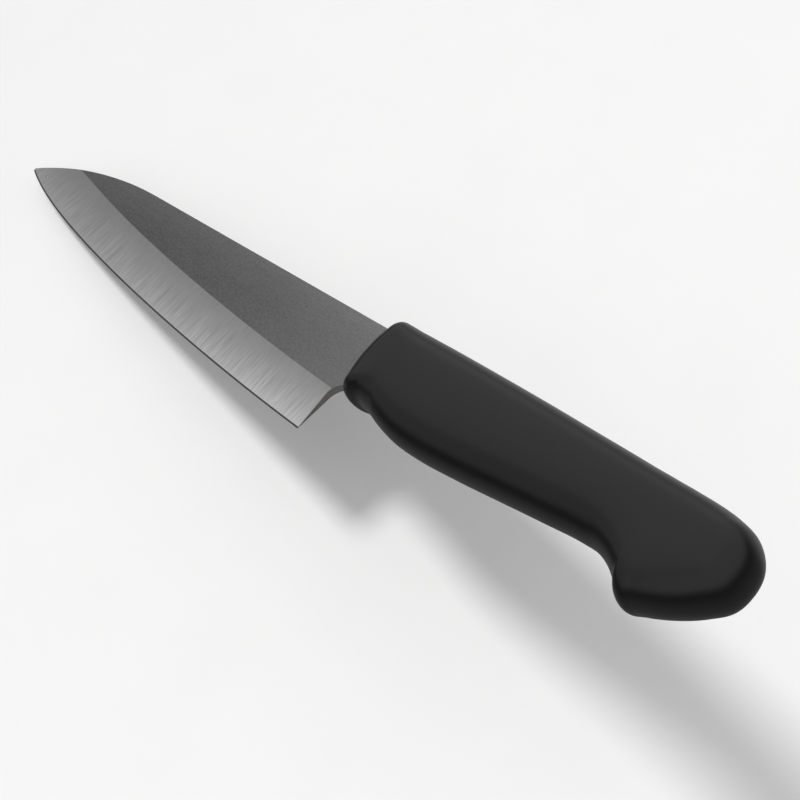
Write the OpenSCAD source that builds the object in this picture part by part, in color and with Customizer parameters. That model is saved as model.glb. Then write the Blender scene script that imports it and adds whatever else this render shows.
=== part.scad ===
// Ceramic kitchen knife with a soft-grip handle, lying on the right side of its handle.
// The tip points to -X, the spine faces +Y, the cutting edge faces -Y.
// The origin is the middle of the flat right side of the handle.

/* [Blade] */
// Blade length from the tip to the heel, mm
blade_length = 132.7; // [116:0.1:150]
// Blade height from the spine line down to the heel of the cutting edge, mm
blade_height = 29.7; // [27:0.1:34]
// Blade thickness, mm
blade_thickness = 2.1; // [1.6:0.1:2.6]
// How far the tip lies below the spine line, mm
tip_drop = 9.4; // [6:0.2:12]
// Height of the small blunt face at the tip, mm
tip_blunt = 0.7; // [0.4:0.1:1.2]
// Width of the ground bevel along the cutting edge, mm
bevel_width = 11.5; // [8:0.1:13]
// Blade thickness left where the fine cutting bevel starts, mm
bevel_end_thickness = 0.2; // [0.15:0.05:0.5]
// Width of the fine cutting bevel, mm
fine_bevel_width = 0.4; // [0.3:0.05:0.9]
// Thickness of the cutting edge itself, mm
edge_thickness = 0.06; // [0.04:0.01:0.12]
// Distance of the heel line ahead of the handle front, mm
heel_gap = 3; // [2:0.25:3.5]
// Radius of the hollow between the heel line and the neck, mm
choil_radius = 4.5; // [3:0.25:5]
// How far the underside of the neck lies below the spine line, mm
neck_drop = 15.65; // [14.5:0.05:17]
// Share of the blade length, from the heel, over which the spine is straight
spine_straight_share = 0.669; // [0.6:0.01:0.72]

/* [Tang] */
// Length of the tang inside the handle, from the handle front, mm
tang_length = 64; // [58:1:66]
// Length of the full-height neck inside the handle, mm
neck_depth = 6.5; // [5.5:0.25:8]
// Step from the spine line down to the upper side of the tang, mm
tang_step = 2; // [1.5:0.25:3]
// Height of the tang, mm
tang_height = 12; // [10:0.5:12.5]
// Radius of the rear corners of the tang, mm
tang_corner = 3; // [2:0.25:4]
// Diameter of the two locking holes in the tang, mm
tang_hole = 5; // [4:0.25:6]
// Places of the two locking holes as shares of the tang length
tang_hole_shares = [0.3, 0.8]; // [0.25:0.01:0.85]

/* [Handle] */
// Handle length from the front to the butt, mm
handle_length = 111; // [108:0.5:122]
// Handle height from the back to the belly, mm
handle_height = 24; // [22.5:0.5:28]
// Handle thickness from side to side, mm
handle_thickness = 16; // [15:0.5:19]
// How far the back of the handle stands above the spine line, mm
back_rise = 3.15; // [2.6:0.1:3.6]
// How far the rolled edge reaches in from the outline, mm
rolled_edge = 6; // [4.5:0.25:7]
// Thickness of the soft grip skin, mm
skin = 2; // [1.5:0.1:2.2]
// How far the rolled edge of the hard core reaches in from its outline, mm
core_edge = 4.6; // [3.5:0.2:5.5]

/* [Core fittings] */
// Thickness of the adhesive all round the tang, mm
adhesive_gap = 0.3; // [0.2:0.05:0.5]
// Distance of the front of the adhesive bed from the handle front, mm
adhesive_front = 4.6; // [4.4:0.1:5.2]
// Height of the locating pegs above the parting plane, mm
peg_height = 3.6; // [3:0.1:4]
// Diameter of the rear locating peg, mm
rear_peg = 4; // [3:0.25:5]
// Place of the rear locating peg as a share of the handle length, from the front
rear_peg_share = 0.87; // [0.85:0.005:0.89]
// Play between a peg and its socket, mm
peg_play = 0.1; // [0.05:0.05:0.2]
// Length of the recess moulded into the core behind the tang, mm
recess_length = 19; // [14:0.5:20]
// Height of the recess, mm
recess_height = 9; // [7:0.5:10]
// Depth of the recess in each half of the core, mm
recess_depth = 3.5; // [2.5:0.25:4]
// Start of the recess as a share of the handle length, from the front
recess_share = 0.625; // [0.62:0.005:0.64]

/* [Hidden] */
$fn = 64;
curve_steps = 24;
grind_steps = 36;
outline_steps = 3;
edge_steps = 6;
handle_front = -handle_length / 2;
spine_y = handle_height / 2 - back_rise;
mid_z = handle_thickness / 2;
grind_overrun = 1.1;
// Handles of the spine curve and of the cutting edge curve, as shares of the blade
// length and the blade height.
spine_bend_share = [0.112, 0];
spine_tip_share = [0.107, 0.216];
edge_heel_share = [0.3625, 0.0793];
edge_tip_share = [0.1491, 0.3261];
// The bevel keeps its width over the first share of the edge, then narrows to the tip by the
// second share of its width.
bevel_narrowing_share = [0.7, 0.16];
// How far the heel line leans over its height, as a share of the choil radius.
heel_slant_share = 0.05;
// Outline of the handle seen from the side. Each row is a point of the back and the point
// of the belly that faces it: distance from the front as a share of the handle length,
// then height above the middle as a share of the handle height.
handle_shares = [
  [0.001, 0.208, 0.000, -0.062],
  [0.006, 0.332, 0.004, -0.188],
  [0.014, 0.438, 0.010, -0.295],
  [0.024, 0.483, 0.016, -0.375],
  [0.047, 0.496, 0.028, -0.392],
  [0.072, 0.496, 0.050, -0.368],
  [0.095, 0.499, 0.085, -0.392],
  [0.131, 0.501, 0.123, -0.443],
  [0.180, 0.503, 0.176, -0.493],
  [0.252, 0.503, 0.243, -0.507],
  [0.342, 0.501, 0.333, -0.487],
  [0.450, 0.496, 0.446, -0.444],
  [0.568, 0.485, 0.563, -0.398],
  [0.667, 0.477, 0.662, -0.366],
  [0.712, 0.472, 0.707, -0.372],
  [0.748, 0.471, 0.743, -0.422],
  [0.779, 0.469, 0.775, -0.499],
  [0.802, 0.469, 0.796, -0.570],
  [0.824, 0.467, 0.810, -0.637],
  [0.847, 0.465, 0.828, -0.663],
  [0.878, 0.458, 0.850, -0.626],
  [0.914, 0.437, 0.906, -0.512],
  [0.956, 0.380, 0.955, -0.361],
  [0.990, 0.224, 0.993, -0.169],
];
front_height_share = 0.065;
butt_height_share = 0.042;
// The line that the rolled edges lean toward: where it starts and ends, and its height.
axis_front_share = 0.12;
axis_butt_share = 0.865;
axis_height_share = 0.03;

// Curves
function unit(v) = v / norm(v);
function bezier(a, b, c, d, t) =
  a * pow(1 - t, 3) + 3 * b * t * pow(1 - t, 2) + 3 * c * t * t * (1 - t) + d * pow(t, 3);
function bezier_slope(a, b, c, d, t) =
  (b - a) * pow(1 - t, 2) + 2 * (c - b) * t * (1 - t) + (d - c) * t * t;
function blade_point(s, drop) = [handle_front - heel_gap - s, spine_y - drop];

// Blade: its two long curves run from the handle to the tip.
spine_turn = blade_point(blade_length * spine_straight_share, 0);
spine_end = blade_point(blade_length, tip_drop);
spine_out = spine_turn - [blade_length * spine_bend_share[0], 0];
spine_in = spine_end + [blade_length * spine_tip_share[0], blade_height * spine_tip_share[1]];
edge_heel = blade_point(0, blade_height);
edge_tip = blade_point(blade_length, tip_drop + tip_blunt);
edge_out = edge_heel + [-blade_length * edge_heel_share[0], blade_height * edge_heel_share[1]];
edge_in = edge_tip + [blade_length * edge_tip_share[0], -blade_height * edge_tip_share[1]];

spine_curve = [for (i = [0 : curve_steps])
  bezier(spine_turn, spine_out, spine_in, spine_end, i / curve_steps)];
edge_curve = [for (i = [0 : grind_steps])
  bezier(edge_heel, edge_out, edge_in, edge_tip, 1 - i / grind_steps)];
choil_curve = [for (i = [0 : curve_steps])
  let (turn = 90 * i / curve_steps)
  blade_point(-choil_radius * (heel_slant_share + 1 - cos(turn)),
    neck_drop + choil_radius * (1 - sin(turn)))];

// Inside the handle the underside of the neck slants up to the underside of the tang.
neck_start = blade_point(-choil_radius * (1 + heel_slant_share), neck_drop);
neck_end = blade_point(-heel_gap - neck_depth, tang_step + tang_height);
function neck_under(x) =
  neck_start[1] + (neck_end[1] - neck_start[1]) * (x - neck_start[0]) / (neck_end[0] - neck_start[0]);

// The plate is cut out a little past the cutting edge, which the grind then leaves.
function edge_square(t) =
  let (along = unit(bezier_slope(edge_heel, edge_out, edge_in, edge_tip, t)))
  [along[1], -along[0]];
rough_edge = [for (i = [1 : grind_steps - 1])
  edge_curve[i] - edge_square(1 - i / grind_steps) * fine_bevel_width];

module blade_outline() {
  polygon(concat(
    [blade_point(-heel_gap - neck_depth, 0)],
    spine_curve,
    [edge_tip - [0, 2 * fine_bevel_width]],
    rough_edge,
    [edge_heel - [0, fine_bevel_width]],
    choil_curve,
    [neck_end]
  ));
}

module tang_outline(grow) {
  rear = handle_front + tang_length + grow;
  high = spine_y - tang_step + grow;
  low = high - tang_height - 2 * grow;
  front = handle_front + neck_depth / 2;
  translate([front, low]) square([rear - tang_corner - front, high - low]);
  translate([front, low + tang_corner]) square([rear - front, high - low - 2 * tang_corner]);
  translate([rear - tang_corner, low + tang_corner]) circle(r = tang_corner);
  translate([rear - tang_corner, high - tang_corner]) circle(r = tang_corner);
}

function hole_place(share) =
  [handle_front + tang_length * share, spine_y - tang_step - tang_height / 2];

module tang_holes(diameter, low, high) {
  for (share = tang_hole_shares)
    translate([hole_place(share)[0], hole_place(share)[1], low])
      cylinder(d = diameter, h = high - low);
}

// How far the grind reaches in from the edge at a station, a little past the bevel line.
function grind_reach(t) =
  let (past = max(t - bevel_narrowing_share[0], 0) / (1 - bevel_narrowing_share[0]))
  let (width = bevel_width * (1 - bevel_narrowing_share[1] * past * past))
  fine_bevel_width + (width - fine_bevel_width) * grind_overrun;

// Space that the grinding takes away, on both sides of the blade and past its edge.
// Each station is a section square to the edge.
module grind_space() {
  top = (bevel_end_thickness + (blade_thickness - bevel_end_thickness) * grind_overrun) / 2;
  beyond = 4 * fine_bevel_width;
  function section(t) = [
    [grind_reach(t), top],
    [fine_bevel_width, bevel_end_thickness / 2],
    [0, edge_thickness / 2],
    [0, -edge_thickness / 2],
    [fine_bevel_width, -bevel_end_thickness / 2],
    [grind_reach(t), -top],
    [-beyond, -top],
    [-beyond, top],
  ];
  stations = [for (i = [-1 : grind_steps + 1])
    let (t = min(max(i, 0), grind_steps) / grind_steps)
    let (place = bezier(edge_heel, edge_out, edge_in, edge_tip, t))
    let (side = edge_square(t))
    let (shift = i < 0 ? -bevel_width / 4 : i > grind_steps ? bevel_width / 4 : 0)
    [place + [-side[1], side[0]] * shift, side, t]];
  count = len(section(0));
  last = len(stations) - 1;
  points = [for (s = stations) for (p = section(s[2]))
    [s[0][0] + s[1][0] * p[0], s[0][1] + s[1][1] * p[0], p[1]]];
  walls = [for (k = [0 : last - 1]) for (i = [0 : count - 1])
    let (j = (i + 1) % count)
    each [
      [k * count + i, (k + 1) * count + j, k * count + j],
      [k * count + i, (k + 1) * count + i, (k + 1) * count + j],
    ]];
  cap = [[7, 0, 1], [7, 1, 2], [7, 2, 3], [7, 3, 6], [6, 3, 4], [6, 4, 5]];
  far_cap = [for (f = cap) [f[2] + last * count, f[1] + last * count, f[0] + last * count]];
  polyhedron(points = points, faces = concat(walls, cap, far_cap), convexity = 4);
}

module blade() {
  color([0.30, 0.30, 0.32])
  difference() {
    translate([0, 0, mid_z - blade_thickness / 2])
      union() {
        linear_extrude(blade_thickness) blade_outline();
        linear_extrude(blade_thickness) tang_outline(0);
      }
    tang_holes(tang_hole, mid_z - blade_thickness, mid_z + blade_thickness);
    translate([0, 0, mid_z]) grind_space();
  }
}

// Handle: one outline, used by the grip skin and, set in by its thickness, by the core.
function handle_point(x, y) = [handle_front + handle_length * x, handle_height * y];
knots = concat(
  [handle_point(0, front_height_share)],
  [for (r = handle_shares) handle_point(r[0], r[1])],
  [handle_point(1, butt_height_share)],
  [for (i = [len(handle_shares) - 1 : -1 : 0]) handle_point(handle_shares[i][2], handle_shares[i][3])]
);
knot_count = len(knots);
function chord(i) = knots[(i + 1) % knot_count] - knots[(i + knot_count) % knot_count];
function lean(i) =
  let (a = chord((i + knot_count - 1) % knot_count), b = chord(i % knot_count))
  unit(unit(a) * norm(b) + unit(b) * norm(a));
outline = [for (i = [0 : knot_count - 1]) for (j = [0 : outline_steps - 1])
  let (t = j / outline_steps, reach = norm(chord(i)))
  knots[i] * (2 * t * t * t - 3 * t * t + 1)
  + lean(i) * reach * (t * t * t - 2 * t * t + t)
  + knots[(i + 1) % knot_count] * (3 * t * t - 2 * t * t * t)
  + lean(i + 1) * reach * (t * t * t - t * t)];
outline_count = len(outline);
function inward(p) =
  unit([min(max(p[0], handle_front + handle_length * axis_front_share),
    handle_front + handle_length * axis_butt_share), handle_height * axis_height_share] - p);
function ring(inset, z) = [for (p = outline)
  let (q = p + inward(p) * inset)
  [q[0], q[1], z]];

// A slab with the handle outline and rolled edges, from one turn angle to another.
// Its widest section is at the middle of the handle thickness.
module rolled_slab(inset, edge, half, from, to, steps) {
  n = outline_count;
  m = n / 2;
  points = [for (k = [0 : steps])
    let (turn = from + (to - from) * k / steps)
    each ring(inset + edge * (1 - cos(turn)), mid_z + half * sin(turn))];
  walls = [for (k = [0 : steps - 1]) for (i = [0 : n - 1])
    let (j = (i + 1) % n)
    each [
      [k * n + i, k * n + j, (k + 1) * n + j],
      [k * n + i, (k + 1) * n + j, (k + 1) * n + i],
    ]];
  cap = concat(
    [[0, 1, n - 1], [m - 1, m, m + 1]],
    [for (i = [1 : m - 2]) [i, i + 1, n - i]],
    [for (i = [1 : m - 2]) [i + 1, n - i - 1, n - i]]
  );
  floor_cap = [for (f = cap) [f[2], f[1], f[0]]];
  roof_cap = [for (f = cap) [f[0] + steps * n, f[1] + steps * n, f[2] + steps * n]];
  polyhedron(points = points, faces = concat(walls, floor_cap, roof_cap), convexity = 6);
}

module core_slab(from, to, steps) {
  rolled_slab(skin, core_edge, mid_z - skin, from, to, steps);
}

// Space taken by the adhesive and the tang together.
module bed_space() {
  translate([0, 0, mid_z - blade_thickness / 2 - adhesive_gap])
    linear_extrude(blade_thickness + 2 * adhesive_gap)
      union() {
        polygon([
          [handle_front + adhesive_front, spine_y + adhesive_gap],
          [handle_front + adhesive_front, neck_under(handle_front + adhesive_front) - adhesive_gap],
          [neck_end[0] + adhesive_gap, neck_end[1] - adhesive_gap],
          [neck_end[0] + adhesive_gap, spine_y + adhesive_gap],
        ]);
        intersection() {
          tang_outline(adhesive_gap);
          translate([handle_front + adhesive_front, -handle_height])
            square([tang_length + adhesive_gap, 2 * handle_height]);
        }
      }
}

// Space taken by the blade and its tang, without the holes.
module blade_space() {
  translate([0, 0, mid_z - blade_thickness / 2])
    linear_extrude(blade_thickness)
      union() {
        blade_outline();
        tang_outline(0);
      }
}

peg = tang_hole - 2 * adhesive_gap;
rear_peg_place = [handle_front + handle_length * rear_peg_share, 0];

module tang_adhesive() {
  color([0.86, 0.80, 0.62])
  difference() {
    bed_space();
    difference() {
      blade_space();
      tang_holes(tang_hole, mid_z - blade_thickness, mid_z + blade_thickness);
    }
    tang_holes(peg, mid_z - blade_thickness, mid_z + blade_thickness);
  }
}

module recess(low, high) {
  translate([handle_front + handle_length * recess_share, -recess_height / 2 + spine_y / 8, low])
    cube([recess_length, recess_height, high - low]);
}

module right_handle_core() {
  color([0.16, 0.16, 0.17])
  union() {
    difference() {
      core_slab(-90, 0, edge_steps);
      bed_space();
      blade_space();
      recess(mid_z - recess_depth, mid_z + recess_depth);
    }
    tang_holes(peg, mid_z - blade_thickness / 2 - adhesive_gap, mid_z + peg_height);
    translate([rear_peg_place[0], rear_peg_place[1], mid_z - peg_height])
      cylinder(d = rear_peg, h = 2 * peg_height);
  }
}

module left_handle_core() {
  color([0.16, 0.16, 0.17])
  difference() {
    core_slab(0, 90, edge_steps);
    bed_space();
    blade_space();
    recess(mid_z - recess_depth, mid_z + recess_depth);
    tang_holes(peg + 2 * peg_play, mid_z - blade_thickness, mid_z + peg_height + peg_play);
    translate([rear_peg_place[0], rear_peg_place[1], mid_z - peg_height])
      cylinder(d = rear_peg + 2 * peg_play, h = 2 * peg_height + peg_play);
  }
}

module grip_skin() {
  color([0.10, 0.10, 0.11])
  difference() {
    rolled_slab(0, rolled_edge, mid_z, -90, 90, 2 * edge_steps);
    core_slab(-90, 90, 2 * edge_steps);
    blade_space();
  }
}

blade();
tang_adhesive();
left_handle_core();
right_handle_core();
grip_skin();
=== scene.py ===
"""Ceramic kitchen knife: a black zirconia blade in a matte soft-grip handle with a hooked butt.
Metres. The tip points to -X, the spine faces +Y, and the right side of the handle is at Z = 0."""

import math

import bmesh
import bpy
from mathutils import Matrix, Vector


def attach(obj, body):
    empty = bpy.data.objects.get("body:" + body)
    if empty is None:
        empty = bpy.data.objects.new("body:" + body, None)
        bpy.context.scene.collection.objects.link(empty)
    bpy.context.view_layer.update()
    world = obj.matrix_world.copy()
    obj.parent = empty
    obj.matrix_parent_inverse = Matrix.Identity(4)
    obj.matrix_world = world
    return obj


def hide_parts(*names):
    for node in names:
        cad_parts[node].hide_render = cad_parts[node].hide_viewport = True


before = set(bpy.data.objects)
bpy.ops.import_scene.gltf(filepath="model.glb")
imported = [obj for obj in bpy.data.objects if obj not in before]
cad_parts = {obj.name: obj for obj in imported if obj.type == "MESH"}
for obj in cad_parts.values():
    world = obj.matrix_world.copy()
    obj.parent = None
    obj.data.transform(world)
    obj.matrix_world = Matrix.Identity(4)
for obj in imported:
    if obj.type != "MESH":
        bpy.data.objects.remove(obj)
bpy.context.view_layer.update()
mm = 0.001

# Blade: one plate of black zirconia, pressed and fired, then ground flat on both sides.
# A wide bevel is ground square to the cutting edge, and a fine bevel finishes the edge itself.
# The corners of the spine, the heel and the neck are eased by tumbling.

heel_x, spine_y, mid_z = -58.5 * mm, 8.85 * mm, 8 * mm
blade_length, blade_height = 132.7 * mm, 29.7 * mm
tip_drop, tip_blunt = 9.4 * mm, 0.7 * mm
edge_heel_share, edge_tip_share = (0.3625, 0.0793), (0.1491, 0.3261)
bevel_width, fine_bevel_width = 11.5 * mm, 0.4 * mm
eased_corner = 0.11 * mm
corner_steps, corner_angle, corner_profile = 2, math.radians(30), 0.5
covered_from = -53 * mm
lower_side_shift = 0.4
edge_samples = 900


def edge_corner(from_heel, drop):
    """A point of the side of the blade, by its distance from the heel line and from the spine."""
    return Vector((heel_x - from_heel, spine_y - drop))


edge_knots = (
    edge_corner(0, blade_height),
    edge_corner(edge_heel_share[0] * blade_length, (1 - edge_heel_share[1]) * blade_height),
    edge_corner(
        (1 - edge_tip_share[0]) * blade_length,
        tip_drop + tip_blunt + edge_tip_share[1] * blade_height,
    ),
    edge_corner(blade_length, tip_drop + tip_blunt),
)


def edge_point(t):
    """The cutting edge, a cubic curve from the heel at 0 to the tip at 1."""
    a, b, c, d = edge_knots
    return a * (1 - t) ** 3 + b * 3 * t * (1 - t) ** 2 + c * 3 * t * t * (1 - t) + d * t**3


edge_line = [edge_point(i / edge_samples) for i in range(edge_samples + 1)]
edge_reach = [0.0]
for here, after in zip(edge_line, edge_line[1:]):
    edge_reach.append(edge_reach[-1] + (after - here).length)


def grind_place(x, y):
    """Distance along the cutting edge, and distance from it, of a point of the blade."""
    point = Vector((x, y))
    nearest = min(range(edge_samples + 1), key=lambda i: (edge_line[i] - point).length_squared)
    i = min(max(nearest, 1), edge_samples - 1)
    along = (edge_line[i + 1] - edge_line[i - 1]).normalized()
    gap = point - edge_line[nearest]
    return edge_reach[nearest] + gap.dot(along), gap.dot(Vector((along.y, -along.x)))


def shown(name, data):
    """An object of the scene with the given data."""
    made = bpy.data.objects.new(name, data)
    bpy.context.scene.collection.objects.link(made)
    return made


class Value:
    """An output of a shader's node tree. Sums and products of values add Math nodes."""

    def __init__(self, finish, socket):
        self.finish, self.socket = finish, socket

    def joined(self, operation, a, b):
        return self.finish.node("ShaderNodeMath", {"operation": operation}, {0: a, 1: b})

    def __add__(self, other):
        return self.joined("ADD", self, other)

    def __sub__(self, other):
        return self.joined("SUBTRACT", self, other)

    def __rsub__(self, other):
        return self.joined("SUBTRACT", other, self)

    def __mul__(self, other):
        return self.joined("MULTIPLY", self, other)

    def between(self, low, high):
        """0 below low, 1 above high, and smooth in between."""
        settings = {"interpolation_type": "SMOOTHSTEP"}
        sockets = {"Value": self, "From Min": low, "From Max": high}
        return self.finish.node("ShaderNodeMapRange", settings, sockets)

    __radd__, __rmul__ = __add__, __mul__


class Finish:
    """The node tree of a material or of the world, and the one method that adds a node to it."""

    def __init__(self, owner):
        owner.use_nodes = True
        self.owner, self.tree = owner, owner.node_tree
        self.tree.nodes.clear()

    def node(self, kind, settings=None, sockets=None, output=0):
        node = self.tree.nodes.new(kind)
        for name, value in (settings or {}).items():
            setattr(node, name, value)
        for name, value in (sockets or {}).items():
            if isinstance(value, Value):
                self.tree.links.new(value.socket, node.inputs[name])
            else:
                node.inputs[name].default_value = value
        return Value(self, node.outputs[output]) if len(node.outputs) else None

    def part(self, place, axis):
        """One coordinate of a place: 0 for X, 1 for Y, 2 for Z."""
        return self.node("ShaderNodeSeparateXYZ", None, {0: place}, axis)

    def noise(self, place, scale, detail=3.0, roughness=0.6):
        """Noise about 0.5, with scale as its number of bumps a metre along each axis."""
        mapped = self.node("ShaderNodeMapping", None, {"Vector": place, "Scale": scale})
        sockets = {"Vector": mapped, "Scale": 1.0, "Detail": detail, "Roughness": roughness}
        return self.node("ShaderNodeTexNoise", None, sockets)

    def mix(self, share, first, second):
        """Mixes two colours."""
        settings = {"data_type": "RGBA"}
        return self.node("ShaderNodeMix", settings, {0: share, 6: first, 7: second}, 2)

    def bump(self, height, distance):
        return self.node("ShaderNodeBump", None, {"Height": height, "Distance": distance})

    def surface(self, values):
        shader = self.node("ShaderNodeBsdfPrincipled", None, values)
        self.node("ShaderNodeOutputMaterial", None, {"Surface": shader})
        return self.owner


# Blade shape: the solid itself, merged, with whole flats and bevels and with eased corners.
# The leans are how much of a face's normal points to the side: all of it on a flat, none on a wall.
merge_distance, level_angle, join_angle, join_shape = 1e-6, math.radians(0.1), 0.1, 3.1
flat_lean, least_ground_lean = 0.9999, 0.9
fine_bevel_lean, bevel_lean, side_lean = 0.5, 0.991, 0.9995
edge_margin = 1.2

blade_mesh = bmesh.new()
blade_mesh.from_mesh(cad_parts["blade"].data)
bmesh.ops.remove_doubles(blade_mesh, verts=blade_mesh.verts, dist=merge_distance)
flats = {f for f in blade_mesh.faces if abs(f.normal.z) > flat_lean}
inner = [e for e in blade_mesh.edges if len(e.link_faces) == 2 and flats.issuperset(e.link_faces)]
bmesh.ops.dissolve_limit(
    blade_mesh, angle_limit=level_angle, verts=[], edges=inner, delimit={"NORMAL"}
)
ground = [f for f in blade_mesh.faces if least_ground_lean < abs(f.normal.z) < side_lean]
bmesh.ops.join_triangles(
    blade_mesh, faces=ground, angle_face_threshold=join_angle, angle_shape_threshold=join_shape
)


def side_kind(face):
    """0 for a wall, 1 for the fine bevel, 2 for the bevel, 3 for a flat side."""
    return sum(abs(face.normal.z) > lean for lean in (fine_bevel_lean, bevel_lean, side_lean))


corners = []
for e in blade_mesh.edges:
    kinds = sorted(side_kind(f) for f in e.link_faces)
    e.smooth = kinds[0] == kinds[-1] or kinds[0] == 0
    outside = max(v.co.x for v in e.verts) < covered_from
    above_edge = min(abs(v.co.z - mid_z) for v in e.verts) > edge_margin * eased_corner
    turned = e.calc_face_angle(0) > corner_angle
    if kinds[0] == 0 and turned and outside and above_edge:
        corners.append(e)
bmesh.ops.bevel(
    blade_mesh,
    geom=corners,
    offset=eased_corner,
    segments=corner_steps,
    profile=corner_profile,
    affect="EDGES",
    clamp_overlap=True,
)
along_edge = blade_mesh.loops.layers.uv.new("grind")
for f in blade_mesh.faces:
    f.smooth = True
    for loop in f.loops:
        u, v = grind_place(loop.vert.co.x, loop.vert.co.y)
        loop[along_edge].uv = (u + (lower_side_shift if f.normal.z < 0 else 0), v)

face_kinds = ("on_wall", "on_fine_bevel", "on_bevel")
wall_layer, fine_bevel_layer, bevel_layer = (
    blade_mesh.faces.layers.float.new(name) for name in face_kinds
)
for f in blade_mesh.faces:
    by_edge = max(loop[along_edge].uv.y for loop in f.loops) < edge_margin * fine_bevel_width
    kind = side_kind(f)
    f[bevel_layer] = float(kind == 2)
    f[fine_bevel_layer] = float(kind == 1 and by_edge)
    f[wall_layer] = float(kind == 0 or (kind == 1 and not by_edge))

# Zirconia finish: fine grain along the flats, coarser wheel marks square to the edge on the bevel.
# The bevel is painted lighter toward the edge and the heel, and the flats toward the spine and the
# heel: painted sheen, colour that stands in for reflected light.
edge_length, painted_spine_sheen_width = 130 * mm, 12 * mm
bevel_base, bevel_heel_painted_sheen, bevel_edge_painted_sheen, bevel_heel_edge_painted_sheen = 0.262, 0.108, 0.183, 0.302
flat_base, flat_heel_painted_sheen, flat_spine_painted_sheen = 0.21, 0.50, 0.17
mark_share, band_share, bevel_cloud_share = 0.9, 0.12, 0.2
flat_grain_share, flat_wave_share, flat_cloud_share = 1.1, 0.15, 0.12
grind_relief, grain_relief, relief_height = 0.5, 0.5, 0.003 * mm
satin, bevel_satin, grain_satin = 0.40, 0.05, 0.15
# The fine bevel's near-black colour is painted shade, the dark reflection along the cutting edge.
black, fine_bevel_painted_shade = (0, 0, 0, 1), (0.008, 0.008, 0.009, 1)
wall_grey, flat_grey, bevel_grey = (
    (0.130, 0.122, 0.110, 1), (0.119, 0.120, 0.123, 1), (0.498, 0.500, 0.506, 1)
)

zirconia = Finish(bpy.data.materials.new("black_zirconia"))
place = zirconia.node("ShaderNodeTexCoord", None, None, "Object")
grind = zirconia.node("ShaderNodeUVMap", {"uv_map": "grind"})
on_wall, on_fine_bevel, on_bevel = (
    zirconia.node("ShaderNodeAttribute", {"attribute_name": name}, None, "Fac")
    for name in face_kinds
)
flat_grain = zirconia.noise(place, (1300, 2000, 2000), roughness=0.7)
flat_waves = zirconia.noise(place, (150, 600, 600), detail=2.0)
flat_cloud = zirconia.noise(place, (35, 90, 90), detail=2.0)
wheel_marks = zirconia.noise(grind, (3400, 110, 1), detail=2.0, roughness=0.65)
wheel_bands = zirconia.noise(grind, (420, 60, 1), detail=2.0)
wheel_cloud = zirconia.noise(grind, (75, 90, 1), detail=2.0)
by_heel = 1 - zirconia.part(grind, 0) * (1 / edge_length)
by_edge = 1 - zirconia.part(grind, 1) * (1 / bevel_width)
by_spine = 1 - (spine_y - zirconia.part(place, 1)).between(0.0, painted_spine_sheen_width)
# Each painted sheen rises slowly at first, then faster toward the heel or the edge.
painted_heel_sheen = by_heel * (0.3 + by_heel * 0.7)
painted_edge_sheen = by_edge * (0.5 + by_edge * 0.5)
# Painted sheen: the bevel's tone is raised toward the heel and toward the edge.
bevel_level = bevel_base + painted_heel_sheen * bevel_heel_painted_sheen
bevel_level = bevel_level + painted_edge_sheen * (bevel_edge_painted_sheen + painted_heel_sheen * bevel_heel_edge_painted_sheen)
marks = (wheel_marks - 0.5) * (mark_share + painted_edge_sheen * mark_share)
marks = marks + (wheel_bands - 0.5) * band_share
bevel_level = bevel_level * (1 + marks + (wheel_cloud - 0.5) * bevel_cloud_share)
# Painted sheen: the flats' tone is raised toward the heel and toward the spine.
flat_level = flat_base + by_heel * by_heel * by_heel * flat_heel_painted_sheen
flat_level = flat_level + by_spine * by_spine * flat_spine_painted_sheen
flat_level = flat_level + (flat_grain - 0.5) * flat_grain_share
flat_level = flat_level + (flat_waves - 0.5) * flat_wave_share
flat_level = flat_level + (flat_cloud - 0.5) * flat_cloud_share
flat_colour = zirconia.mix(flat_level, black, flat_grey)
bevel_colour = zirconia.mix(bevel_level, black, bevel_grey)
colour = zirconia.mix(on_bevel, flat_colour, bevel_colour)
# Painted shade: the fine bevel along the cutting edge is coloured near black.
colour = zirconia.mix(on_fine_bevel, colour, fine_bevel_painted_shade)
colour = zirconia.mix(on_wall, colour, wall_grey)
relief = on_bevel * (wheel_marks + wheel_bands * grind_relief)
relief = relief + (1 - on_bevel) * flat_grain * grain_relief
zirconia_surface = zirconia.surface(
    {
        "Base Color": colour,
        "Roughness": satin + on_bevel * bevel_satin + (flat_grain - 0.5) * grain_satin,
        "IOR": 1.95,
        "Normal": zirconia.bump(relief, relief_height),
    }
)
blade_data = bpy.data.meshes.new("zirconia_blade")
blade_mesh.to_mesh(blade_data)
blade_mesh.free()
blade_data.materials.append(zirconia_surface)
blade = shown("zirconia_blade", blade_data)
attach(blade, "root")
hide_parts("blade")
flat_normals = blade.modifiers.new("flat_normals", "WEIGHTED_NORMAL")
flat_normals.mode, flat_normals.keep_sharp = "FACE_AREA", True

# Tang bed: two-part epoxy that fills the space between the tang and the plastic core.
# It sets hard and amber inside the closed handle, so it is the solid itself with its own finish.

dark_amber, light_amber, bubble_white = (
    (0.55, 0.42, 0.20, 1), (0.78, 0.68, 0.45, 1), (0.9, 0.86, 0.74, 1)
)
bubble_scale, bubble_start, bubble_end = 900.0, 0.12, 0.2

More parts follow.
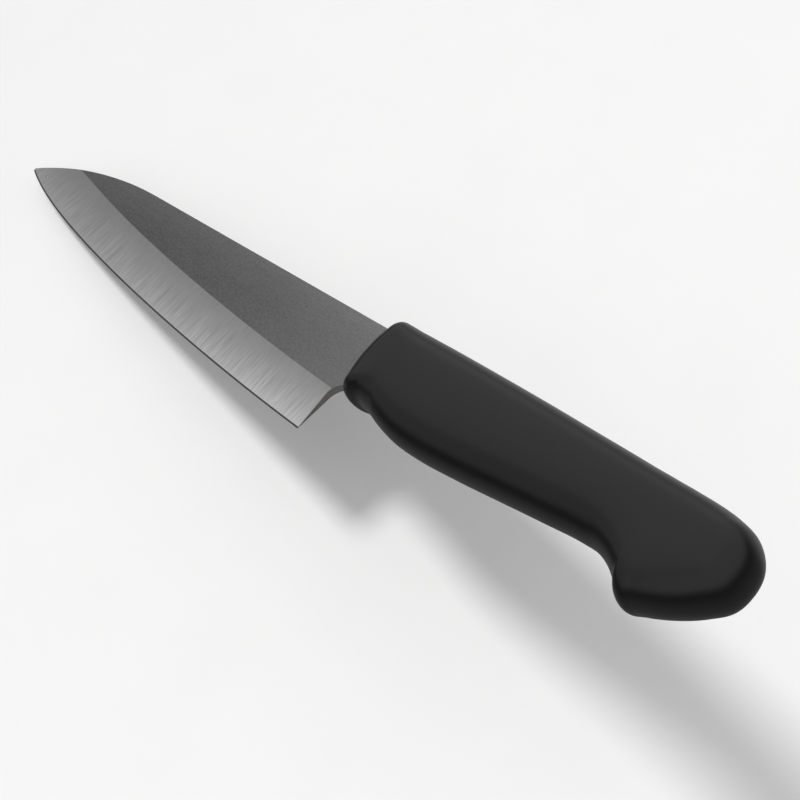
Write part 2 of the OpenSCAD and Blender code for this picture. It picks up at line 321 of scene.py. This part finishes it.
epoxy = Finish(bpy.data.materials.new("amber_epoxy"))
place = epoxy.node("ShaderNodeTexCoord", None, None, "Object")
swirl = epoxy.noise(place, (160, 160, 160), detail=4.0)
bubbles = epoxy.node("ShaderNodeTexVoronoi", None, {"Vector": place, "Scale": bubble_scale})
in_bubble = 1 - bubbles.between(bubble_start, bubble_end)
colour = epoxy.mix(swirl, dark_amber, light_amber)
colour = epoxy.mix(in_bubble * 0.5, colour, bubble_white)
epoxy_surface = epoxy.surface(
    {
        "Base Color": colour,
        "Roughness": 0.22 + swirl * 0.2,
        "IOR": 1.55,
        "Normal": epoxy.bump(swirl - in_bubble * 0.6, 0.05 * mm),
    }
)
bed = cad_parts["tang_adhesive"].data
bed.materials.clear()
bed.materials.append(epoxy_surface)

# Handle core: two moulded halves of hard black plastic that close over the tang.
# Pegs on the right half pass through the tang's holes into sockets in the left half.

dark_plastic, light_plastic = (0.028, 0.028, 0.031, 1), (0.045, 0.045, 0.049, 1)

core_plastic = Finish(bpy.data.materials.new("moulded_core_plastic"))
place = core_plastic.node("ShaderNodeTexCoord", None, None, "Object")
flow = core_plastic.noise(place, (25, 90, 90))
spark_texture = core_plastic.noise(place, (2600, 2600, 2600), detail=2.0)
core_surface = core_plastic.surface(
    {
        "Base Color": core_plastic.mix(flow, dark_plastic, light_plastic),
        "Roughness": 0.5 + (spark_texture - 0.5) * 0.25,
        "Normal": core_plastic.bump(spark_texture + flow * 0.5, 0.01 * mm),
    }
)
for node in ("left_handle_core", "right_handle_core"):
    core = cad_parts[node].data
    core.materials.clear()
    core.materials.append(core_surface)

# Grip skin: soft thermoplastic rubber moulded over the core in one shot, with no parting line
# that shows. One section runs the length of the handle: rolled edges and slightly crowned sides,
# closed over a front that grips the blade and over a butt that hooks down behind the fingers.

handle_front, handle_length, handle_height = -55.5 * mm, 111 * mm, 24 * mm
skin, core_edge, rolled_edge, half_thickness = 2 * mm, 4.6 * mm, 6 * mm, 8 * mm
side_crown, crown_slope = 0.335 * mm, 0.11
roll_end = math.radians(85.3)
roll_steps, side_steps, outline_steps = 14, 16, 8
weld_distance, sharp_angle = 2e-6, math.radians(45)
axis_shares, axis_height_share = (0.12, 0.865), 0.03
front_stations, station_step = 40, 0.02 * mm
slot_play, slot_length, neck_drop = 0.04 * mm, 14 * mm, 15.65 * mm
blade_thickness, slot_room = 2.1 * mm, 0.4 * mm
# Outline seen from the side: a point of the back and the point of the belly that faces it,
# each as shares of the handle's length and height.
outline_shares = (
    (0.001, 0.208, 0.000, -0.062), (0.006, 0.332, 0.004, -0.188), (0.014, 0.438, 0.010, -0.295),
    (0.024, 0.483, 0.016, -0.375), (0.047, 0.496, 0.028, -0.392), (0.072, 0.496, 0.050, -0.368),
    (0.095, 0.499, 0.085, -0.392), (0.131, 0.501, 0.123, -0.443), (0.180, 0.503, 0.176, -0.493),
    (0.252, 0.503, 0.243, -0.507), (0.342, 0.501, 0.333, -0.487), (0.450, 0.496, 0.446, -0.444),
    (0.568, 0.485, 0.563, -0.398), (0.667, 0.477, 0.662, -0.366), (0.712, 0.472, 0.707, -0.372),
    (0.748, 0.471, 0.743, -0.422), (0.779, 0.469, 0.775, -0.499), (0.802, 0.469, 0.796, -0.570),
    (0.824, 0.467, 0.810, -0.637), (0.847, 0.465, 0.828, -0.663), (0.878, 0.458, 0.850, -0.626),
    (0.914, 0.437, 0.906, -0.512), (0.956, 0.380, 0.955, -0.361), (0.990, 0.224, 0.993, -0.169),
)
front_height_share, butt_height_share = 0.065, 0.042


def handle_point(x, y):
    """A point of the outline, by its shares of the handle's length and height."""
    return Vector((handle_front + handle_length * x, handle_height * y, 0))


knots = [handle_point(0, front_height_share)]
knots += [handle_point(*row[:2]) for row in outline_shares]
knots += [handle_point(1, butt_height_share)]
knots += [handle_point(*row[2:]) for row in reversed(outline_shares)]
chords = [after - here for here, after in zip(knots, knots[1:] + knots[:1])]
leans = [
    (before.normalized() * after.length + after.normalized() * before.length).normalized()
    for before, after in zip(chords[-1:] + chords[:-1], chords)
]
outline = []
for i, (here, chord, lean) in enumerate(zip(knots, chords, leans)):
    after, next_lean = knots[(i + 1) % len(knots)], leans[(i + 1) % len(knots)]
    for step in range(outline_steps):
        t = step / outline_steps
        outline.append(
            here * (2 * t**3 - 3 * t**2 + 1)
            + lean * chord.length * (t**3 - 2 * t**2 + t)
            + after * (3 * t**2 - 2 * t**3)
            + next_lean * chord.length * (t**3 - t**2)
        )
        outline[-1].x = min(outline[-1].x, handle_front + handle_length)


def inward(point):
    """The way in which the rolled edge leans from a point of the outline."""
    low, high = (handle_front + handle_length * share for share in axis_shares)
    axis = Vector((min(max(point.x, low), high), handle_height * axis_height_share, 0))
    return (axis - point).normalized()


def station_leans(points):
    """Leans from one side of the outline, shortened near the front so that no side folds back."""
    depth = skin + core_edge * (1 - math.cos(roll_end))
    leans = [inward(p) for p in points]
    for i in reversed(range(front_stations)):
        end_x, next_x = (points[k].x + leans[k].x * depth for k in (i, i + 1))
        if end_x > next_x - station_step:
            leans[i] *= (next_x - station_step - points[i].x) / (end_x - points[i].x)
    return leans


def points_object(name, points, attributes):
    """An object of loose points, with a vector for each of them under each attribute's name."""
    data = bpy.data.meshes.new(name)
    data.from_pydata(points, [], [])
    for key, values in attributes.items():
        layer = data.attributes.new(key, "FLOAT_VECTOR", "POINT")
        layer.data.foreach_set("vector", [x for value in values for x in value])
    return shown(name, data)


# The section holds, for each of its points: lean from the outline, share of the way from back
# to belly, and rise from the middle.
rolls = [roll_end * i / roll_steps for i in range(roll_steps + 1)]
upper = [(1 - math.cos(a), 0, math.sin(a) / math.sin(roll_end)) for a in rolls]
across = [(upper[-1][0], i / side_steps, 1) for i in range(1, side_steps)]
half_section = upper + across + [(lean, 1, rise) for lean, share, rise in reversed(upper)]
section = half_section + [(lean, share, -rise) for lean, share, rise in half_section[-2:0:-1]]

count = len(outline)
backs, bellies = outline[: count // 2 + 1], [outline[-i] for i in range(count // 2 + 1)]
back_leans, belly_leans = station_leans(backs), station_leans(bellies)
back_leans[0] = belly_leans[0] = min(back_leans[0], belly_leans[0], key=lambda lean: lean.length)
stations = points_object(
    "handle_stations", backs, {"belly": bellies, "back_lean": back_leans, "belly_lean": belly_leans}
)
section_points = points_object("handle_section", section, {})


class Tree:
    """A geometry node tree with named inputs, and the one method that adds a node to it."""

    def __init__(self, name):
        self.tree = bpy.data.node_groups.new(name, "GeometryNodeTree")
        for way in ("INPUT", "OUTPUT"):
            self.tree.interface.new_socket(
                "Geometry", in_out=way, socket_type="NodeSocketGeometry"
            )
        self.entry = self.tree.nodes.new("NodeGroupInput")
        self.identifiers = {}

    def input(self, name, kind):
        made = self.tree.interface.new_socket(name, in_out="INPUT", socket_type=kind)
        self.identifiers[name] = made.identifier
        return self.entry.outputs[name]

    def node(self, kind, settings=None, sockets=None, output=0):
        node = self.tree.nodes.new(kind)
        for name, value in (settings or {}).items():
            setattr(node, name, value)
        for name, value in (sockets or {}).items():
            for link in value if isinstance(value, list) else [value]:
                if isinstance(link, bpy.types.NodeSocket):
                    self.tree.links.new(link, node.inputs[name])
                else:
                    node.inputs[name].default_value = link
        return node.outputs[output] if len(node.outputs) else None

    def maths(self, operation, *values):
        return self.node("ShaderNodeMath", {"operation": operation}, dict(enumerate(values)))

    def vectors(self, operation, *values):
        return self.node("ShaderNodeVectorMath", {"operation": operation}, dict(enumerate(values)))


skin_tree = Tree("moulded_grip_skin")
size_names = (
    "Half thickness", "Side crown", "Crown slope", "Rolled edge", "Middle height",
    "Skin", "Core edge", "Core half thickness", "Roll front", "Roll butt",
)
sizes = {name: skin_tree.input(name, "NodeSocketFloat") for name in size_names}
slot_size = skin_tree.input("Slot size", "NodeSocketVector")
slot_place = skin_tree.input("Slot place", "NodeSocketVector")
section_object = skin_tree.input("Section", "NodeSocketObject")
skin_material = skin_tree.input("Material", "NodeSocketMaterial")

stations_in = skin_tree.entry.outputs["Geometry"]
section_in = skin_tree.node("GeometryNodeObjectInfo", None, {"Object": section_object}, "Geometry")
station_count = skin_tree.node("GeometryNodeAttributeDomainSize", None, {"Geometry": stations_in})
section_count = skin_tree.node("GeometryNodeAttributeDomainSize", None, {"Geometry": section_in})
ring_count = skin_tree.maths("ADD", section_count, 1.0)
grid = skin_tree.node(
    "GeometryNodeMeshGrid", None, {"Vertices X": station_count, "Vertices Y": ring_count}
)
grid = skin_tree.node("GeometryNodeFlipFaces", None, {"Mesh": grid})
index = skin_tree.node("GeometryNodeInputIndex")
station = skin_tree.maths("FLOOR", skin_tree.maths("DIVIDE", index, ring_count))
corner = skin_tree.maths("MODULO", skin_tree.maths("MODULO", index, ring_count), section_count)


def sampled(source, value, at):
    """A vector of the source's points, read at an index."""
    settings = {"data_type": "FLOAT_VECTOR", "domain": "POINT"}
    sockets = {"Geometry": source, "Value": value, "Index": at}
    return skin_tree.node("GeometryNodeSampleIndex", settings, sockets)


def named(name):
    settings = {"data_type": "FLOAT_VECTOR"}
    return skin_tree.node("GeometryNodeInputNamedAttribute", settings, {"Name": name})


def moved(point, way, distance):
    """A point moved by a distance along a way."""
    sockets = {0: way, "Scale": distance}
    step = skin_tree.node("ShaderNodeVectorMath", {"operation": "SCALE"}, sockets)
    return skin_tree.vectors("ADD", point, step)


here = skin_tree.node("GeometryNodeInputPosition")
split = skin_tree.node("ShaderNodeSeparateXYZ", None, {0: sampled(section_in, here, corner)})
lean, share, rise = split.node.outputs
back, belly = sampled(stations_in, here, station), sampled(stations_in, named("belly"), station)
back_lean = sampled(stations_in, named("back_lean"), station)
belly_lean = sampled(stations_in, named("belly_lean"), station)


def shell(inset, edge, half, crown, slope):
    """The closed surface that lies inset from the outline, with its own rolled edge.

    Its sides swell by slope times a distance that is 0 on the rolled edge all round."""
    reach = skin_tree.maths("MULTIPLY_ADD", lean, edge, inset)
    back_side, belly_side = moved(back, back_lean, reach), moved(belly, belly_lean, reach)
    flat = skin_tree.node(
        "ShaderNodeMix", {"data_type": "VECTOR"}, {0: share, 4: back_side, 5: belly_side}, 1
    )
    sockets = {0: back_side, 1: belly_side}
    width = skin_tree.node("ShaderNodeVectorMath", {"operation": "DISTANCE"}, sockets, 1)
    across = skin_tree.maths("MULTIPLY", share, skin_tree.maths("SUBTRACT", 1.0, share))
    across = skin_tree.maths("MULTIPLY", across, width)
    x = skin_tree.node("ShaderNodeSeparateXYZ", None, {0: flat})
    from_front = skin_tree.maths("SUBTRACT", x, sizes["Roll front"])
    from_front = skin_tree.maths("MAXIMUM", from_front, 0.0)
    from_butt = skin_tree.maths("SUBTRACT", sizes["Roll butt"], x)
    from_butt = skin_tree.maths("MAXIMUM", from_butt, 0.0)
    both = skin_tree.maths("MULTIPLY", from_front, from_butt)
    either = skin_tree.maths("ADD", from_front, from_butt)
    ends = skin_tree.maths("MULTIPLY_ADD", across, either, both)
    depth = skin_tree.maths("DIVIDE", skin_tree.maths("MULTIPLY", across, both), ends)
    bulge = skin_tree.maths("MULTIPLY", depth, slope)
    height = skin_tree.maths("ADD", skin_tree.maths("SUBTRACT", half, crown), bulge)
    height = skin_tree.maths("MULTIPLY_ADD", rise, height, sizes["Middle height"])
    lifted = skin_tree.node("ShaderNodeCombineXYZ", None, {"Z": height})
    sockets = {"Geometry": grid, "Position": skin_tree.vectors("ADD", flat, lifted)}
    placed = skin_tree.node("GeometryNodeSetPosition", None, sockets)
    sockets = {"Geometry": placed, "Distance": weld_distance}
    return skin_tree.node("GeometryNodeMergeByDistance", None, sockets)


outside = shell(
    0.0, sizes["Rolled edge"], sizes["Half thickness"], sizes["Side crown"], sizes["Crown slope"]
)
inside = shell(sizes["Skin"], sizes["Core edge"], sizes["Core half thickness"], 0.0, 0.0)
slot = skin_tree.node("GeometryNodeMeshCube", None, {"Size": slot_size})
slot = skin_tree.node("GeometryNodeTransform", None, {"Geometry": slot, "Translation": slot_place})
hollow = skin_tree.node(
    "GeometryNodeMeshBoolean",
    {"operation": "DIFFERENCE", "solver": "EXACT"},
    {"Mesh 1": outside, "Mesh 2": [inside, slot]},
)
smooth = skin_tree.node("GeometryNodeSetShadeSmooth", None, {"Geometry": hollow})
real = skin_tree.node("GeometryNodeRealizeInstances", None, {"Geometry": smooth})
sockets = {"Geometry": real, "Material": skin_material}
done = skin_tree.node("GeometryNodeSetMaterial", None, sockets)
skin_tree.node("NodeGroupOutput", None, {"Geometry": done})

dark_rubber, light_rubber = (0.0035, 0.0035, 0.0036, 1), (0.0075, 0.0074, 0.0072, 1)
pore_share, wave_share, handled_share = 0.35, 0.35, 0.3
soft_grip = Finish(bpy.data.materials.new("soft_touch_rubber"))
place = soft_grip.node("ShaderNodeTexCoord", None, None, "Object")
fine_pores = soft_grip.noise(place, (2400, 2400, 2400))
soft_waves = soft_grip.noise(place, (70, 110, 110))
handled = soft_grip.noise(place, (28, 40, 40), detail=4.0)
tone = fine_pores * pore_share + soft_waves * wave_share + handled * handled_share
soft_surface = soft_grip.surface(
    {
        "Base Color": soft_grip.mix(tone, dark_rubber, light_rubber),
        "Roughness": 0.31 + (tone - 0.5) * 0.16,
        "IOR": 1.5,
        "Normal": soft_grip.bump(fine_pores + soft_waves * 2, 0.012 * mm),
    }
)

grip_tool = stations.modifiers.new("moulded_grip_skin", "NODES")
grip_tool.node_group = skin_tree.tree
slot_height = neck_drop + slot_room + slot_play
roll_depth = rolled_edge * (1 - math.cos(roll_end))
for name, value in {
    "Half thickness": half_thickness,
    "Side crown": side_crown,
    "Crown slope": crown_slope,
    "Roll front": handle_front + roll_depth,
    "Roll butt": handle_front + handle_length - roll_depth,
    "Rolled edge": rolled_edge,
    "Middle height": mid_z,
    "Skin": skin,
    "Core edge": core_edge,
    "Core half thickness": half_thickness - skin,
    "Slot size": (slot_length, slot_height, blade_thickness + 2 * slot_play),
    "Slot place": (handle_front, spine_y + slot_play - slot_height / 2, mid_z),
    "Section": section_points,
    "Material": soft_surface,
}.items():
    grip_tool[skin_tree.identifiers[name]] = value
evaluated = stations.evaluated_get(bpy.context.evaluated_depsgraph_get())
grip_data = bpy.data.meshes.new_from_object(evaluated)
for used in (stations, section_points):
    bpy.data.objects.remove(used)
grip_data.name = "soft_grip_skin"
grip_data.set_sharp_from_angle(angle=sharp_angle)
grip = shown("soft_grip_skin", grip_data)
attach(grip, "root")
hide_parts("grip_skin")

# Studio: a pale sheet of paper under the knife, one soft lamp high above it and a tent of light.
# The sheet lies close under the tip and falls away toward the butt, as the knife is held up there.
# Far away it rises all round, so that a low camera sees a pale background too.

camera_place = Vector((0.2693, -0.1027, 0.3460))
camera_right = Vector((0.64230, 0.65475, -0.39844))
camera_forward = Vector((-0.66172, 0.21138, -0.71934))
focal_pixels, picture_pixels, sensor_width = 2200, 800, 36
camera_data = bpy.data.cameras.new("photo_camera")
camera_data.sensor_width = sensor_width
camera_data.lens = focal_pixels / picture_pixels * sensor_width
camera_data.clip_start, camera_data.clip_end = 0.01, 50
camera = shown("photo_camera", camera_data)
camera_up = camera_right.cross(camera_forward)
axes = Matrix((camera_right, camera_up, -camera_forward)).transposed()
camera.matrix_world = Matrix.Translation(camera_place) @ axes.to_4x4()
bpy.context.scene.camera = camera

floor_under_tip, fall_rate, fall_growth, side_fall = 6.3 * mm, 0.10, 0.95, 0.15
floor_centre, shaped_to, level_from = Vector((-0.09, 0.01)), 0.19, 0.75
level_height, floor_reach, wall_from, wall_height = -0.10, 8.0, 1.6, 2.4
crest_softness = 3 * mm
tip_x = heel_x - blade_length


def floor_height(x, y):
    """A fall from the tip toward the butt and the spine, which levels out, then a wall."""
    past_tip = x - tip_x
    fall = fall_rate * past_tip + fall_growth * max(past_tip, 0) ** 2 + side_fall * y
    fall = (fall + math.hypot(fall, crest_softness)) / 2
    radius = (Vector((x, y)) - floor_centre).length
    t = min(max((radius - shaped_to) / (level_from - shaped_to), 0), 1)
    level = t * t * (3 - 2 * t)
    wall = wall_height * (max(radius - wall_from, 0) / (floor_reach - wall_from)) ** 2
    return (floor_under_tip - fall) * (1 - level) + level_height * level + wall


rings, spokes, ring_growth = 120, 120, 3
sheet = bmesh.new()
middle = sheet.verts.new((*floor_centre, floor_height(*floor_centre)))
before = []
for ring in range(1, rings + 1):
    radius = floor_reach * (ring / rings) ** ring_growth
    around = []
    for spoke in range(spokes):
        turn = 2 * math.pi * spoke / spokes
        x, y = floor_centre + radius * Vector((math.cos(turn), math.sin(turn)))
        around.append(sheet.verts.new((x, y, floor_height(x, y))))
    for i in range(spokes):
        j = (i + 1) % spokes
        nearer = (before[j], before[i]) if before else (middle,)
        sheet.faces.new((around[i], around[j], *nearer)).smooth = True
    before = around
floor_data = bpy.data.meshes.new("paper_sheet")
sheet.to_mesh(floor_data)
sheet.free()
# The paper's colour is painted shade toward the tip and painted light toward the butt, with random
# fibre tone on top.
paper_in_painted_shade, white_paper = (0.745, 0.745, 0.748, 1), (0.845, 0.845, 0.848, 1)
painted_shade_to, painted_light_from, fibre_share, painted_light_share = tip_x - 0.08, 0.05, 0.3, 0.7
paper = Finish(bpy.data.materials.new("white_paper"))
place = paper.node("ShaderNodeTexCoord", None, None, "Object")
fibre = paper.noise(place, (40, 40, 40))
along = paper.part(place, 0).between(painted_shade_to, painted_light_from)
fibre_and_painted_light = fibre * fibre_share + along * painted_light_share
paper_surface = paper.surface(
    {
        "Base Color": paper.mix(fibre_and_painted_light, paper_in_painted_shade, white_paper),
        "Roughness": 0.9,
        "Specular IOR Level": 0.2,
    }
)
floor_data.materials.append(paper_surface)
floor = shown("paper_sheet", floor_data)
floor.visible_glossy = False

lamp_from = Vector((-0.201, 0.163, 0.966))
lamp_energy, lamp_angle = 1.9, 15.5
lamp = bpy.data.lights.new("soft_lamp", "SUN")
lamp.energy, lamp.angle, lamp.color = lamp_energy, math.radians(lamp_angle), (1.0, 0.995, 0.985)
soft_lamp = shown("soft_lamp", lamp)
soft_lamp.visible_glossy = False
soft_lamp.rotation_mode = "QUATERNION"
soft_lamp.rotation_quaternion = lamp_from.to_track_quat("Z", "Y")

# The tent: a dome above, with a dimmer part and a brighter part, a glow low on the far side and
# little light from below. Each part has a way to its middle, where it starts and where it is full.
dome_start, dome_full, dome_light = 0.0, 0.27, 0.77
dim_from, dim_start, dim_full, dim_share = Vector((-0.80, -0.46, 0.34)), 0.40, 0.97, 0.45
glow_from, glow_start, glow_full, glow_share = Vector((-0.63, 0.53, 0.57)), 0.75, 1.0, 0.22
far_from, far_start, far_full, far_light = Vector((-0.45, 0.80, -0.40)), 0.55, 1.0, 0.45
below_start, below_full, below_light, low_light = -0.15, -0.5, 0.20, 0.03
room = Finish(bpy.data.worlds.new("light_tent"))
way = room.node("ShaderNodeTexCoord", None, None, "Generated")
rise = room.part(way, 2)
dot_product = {"operation": "DOT_PRODUCT"}
toward_dim, toward_glow, toward_far = (
    room.node("ShaderNodeVectorMath", dot_product, {0: way, 1: source.normalized()}, 1)
    for source in (dim_from, glow_from, far_from)
)
dim = toward_dim.between(dim_start, dim_full) * dim_share
glow = toward_glow.between(glow_start, glow_full) * glow_share
in_dome = rise.between(dome_start, dome_full)
far_side = toward_far.between(far_start, far_full) * far_light
low_side = rise.between(below_start, below_full) * below_light + far_side + low_light
light = (1 - dim + glow) * dome_light * in_dome + low_side * (1 - in_dome)
tent = room.node("ShaderNodeBackground", None, {"Strength": light})
room.node("ShaderNodeOutputWorld", None, {"Surface": tent})
bpy.context.scene.world = room.owner
bpy.context.scene.view_settings.view_transform = "Standard"
